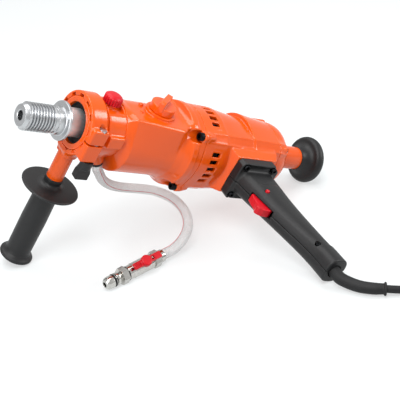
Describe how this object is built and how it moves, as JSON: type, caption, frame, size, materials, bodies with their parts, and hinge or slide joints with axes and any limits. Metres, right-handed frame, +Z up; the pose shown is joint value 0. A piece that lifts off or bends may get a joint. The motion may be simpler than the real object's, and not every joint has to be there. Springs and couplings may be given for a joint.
{
  "type": "core drill",
  "caption": "Hand-held wet core drill with threaded spindle, side handle with guard, two-speed gearbox, motor, pistol grip, rear palm knob, water valve hose and coiled mains lead.",
  "frame": {"origin": "on the floor under the middle of the tool as it lies on its side handle, grip end and palm knob", "axes": "+X from the spindle end towards the palm knob end, +Y away from the pistol grip, +Z up"},
  "size_m": [0.5183, 0.4844, 0.2252],
  "materials": {
    "orange_casting": "gloss orange enamel on cast aluminium",
    "black_moulding": "fine grained black moulding",
    "red_moulding": "red moulding",
    "steel": "turned steel",
    "black_steel": "blackened steel",
    "nickel": "nickel plated brass",
    "aluminium": "machined",
    "bronze": "sintered bronze",
    "copper": "copper",
    "core": "laminated iron with windings",
    "rubber": "black rubber",
    "clear_hose": "clear reinforced vinyl hose"
  },
  "bodies": {
    "machine": {"front_neck": "orange_casting", "shaft_seal": "rubber", "water_seals": "rubber", "spindle_bearings": "steel", "gearbox_housing": "orange_casting", "bearing_bridge": "aluminium", "gear_plate": "aluminium", "layshaft_bushes": "bronze", "flange_screws": "black_steel", "motor_housing": "orange_casting", "stator": "core", "armature_bearings": "steel", "brush_holders": "bronze", "carbon_brushes": "core", "motor_end_cap": "orange_casting", "end_cap_screws": "black_steel", "rear_tube": "orange_casting", "palm_knob": "black_moulding", "grip_left": "black_moulding", "grip_right": "black_moulding", "grip_flange_screws": "black_steel", "grip_shell_screw": "black_steel", "switch_body": "black_moulding", "cord_clamp": "black_moulding", "hose_fitting": "nickel", "hose_clamp_upper": "black_moulding", "water_hose": "clear_hose", "valve_hose_nut": "nickel", "valve_body": "nickel", "valve_nipple": "nickel", "nipple_seals": "rubber", "cable_sleeve": "rubber", "mains_cable": "rubber", "cable_coil": "rubber", "cable_tail": "rubber", "coil_tie": "black_moulding", "mains_plug": "black_moulding", "plug_pins": "nickel"},
    "spindle": {"spindle": "steel", "spindle_gear": "steel"},
    "layshaft": {"layshaft": "steel", "layshaft_gear": "steel"},
    "armature": {"armature": "core", "commutator": "copper", "cooling_fan": "black_moulding"},
    "front_handle": {"handle_collar": "orange_casting", "handle_tube": "orange_casting", "handle_grip": "black_moulding", "clamp_bolt": "steel"},
    "clamp_lever": {"clamp_lever": "black_moulding"},
    "trigger": {"trigger": "red_moulding"},
    "lock_button": {"lock_button": "red_moulding"},
    "gear_selector": {"gear_selector": "orange_casting"},
    "water_knob": {"water_knob": "red_moulding"},
    "valve_lever": {"valve_lever": "red_moulding", "valve_stem_nut": "steel", "valve_ball": "steel"}
  },
  "joints": [
    {"name": "armature_spin", "type": "hinge", "parent": "machine", "child": "armature", "pos_m": [0.06118, 0.07085, 0.09027], "axis": [0.9198, 0, -0.3925], "continuous": true},
    {"name": "layshaft_spin", "type": "hinge", "parent": "machine", "child": "layshaft", "pos_m": [-0.07328, 0.08267, 0.13188], "axis": [0.9198, 0, -0.3925], "continuous": true},
    {"name": "spindle_spin", "type": "hinge", "parent": "machine", "child": "spindle", "pos_m": [-0.14681, 0.068, 0.18887], "axis": [0.9198, 0, -0.3925], "continuous": true},
    {"name": "handle_turn", "type": "hinge", "parent": "machine", "child": "front_handle", "pos_m": [-0.12934, 0.068, 0.18141], "axis": [0.9198, 0, -0.3925], "range_deg": [0, 180]},
    {"name": "clamp_lever_turn", "type": "hinge", "parent": "front_handle", "child": "clamp_lever", "pos_m": [-0.14184, 0.0444, 0.14446], "axis": [-0.3743, 0.3005, -0.8773], "range_deg": [0, 180]},
    {"name": "trigger_pull", "type": "hinge", "parent": "machine", "child": "trigger", "pos_m": [0.04997, -0.01975, 0.06401], "axis": [0.3743, -0.3005, 0.8773], "range_deg": [0, 8], "stiffness_Nm_per_rad": 2, "springref_deg": -2.86},
    {"name": "lock_button_press", "type": "slide", "parent": "machine", "child": "lock_button", "axis": [-0.3743, 0.3005, -0.8773], "range_m": [0, 0.0025], "stiffness_N_per_m": 400, "springref_m": -0.001},
    {"name": "gear_selector_turn", "type": "hinge", "parent": "machine", "child": "gear_selector", "pos_m": [-0.03592, 0.0499, 0.17867], "axis": [0.3743, -0.3005, 0.8773], "range_deg": [0, 90]},
    {"name": "water_knob_turn", "type": "hinge", "parent": "machine", "child": "water_knob", "pos_m": [-0.09508, 0.05748, 0.20309], "axis": [0.3743, -0.3005, 0.8773], "range_deg": [0, 270]},
    {"name": "valve_lever_turn", "type": "hinge", "parent": "machine", "child": "valve_lever", "pos_m": [-0.09776, 0.01352, 0.0082], "axis": [0.0895, -0.6365, 0.766], "range_deg": [0, 90]}
  ],
  "couplings": [
    {"joint": "layshaft_spin", "follows": "armature_spin", "ratio": -0.29412},
    {"joint": "spindle_spin", "follows": "armature_spin", "ratio": 0.10893}
  ]
}
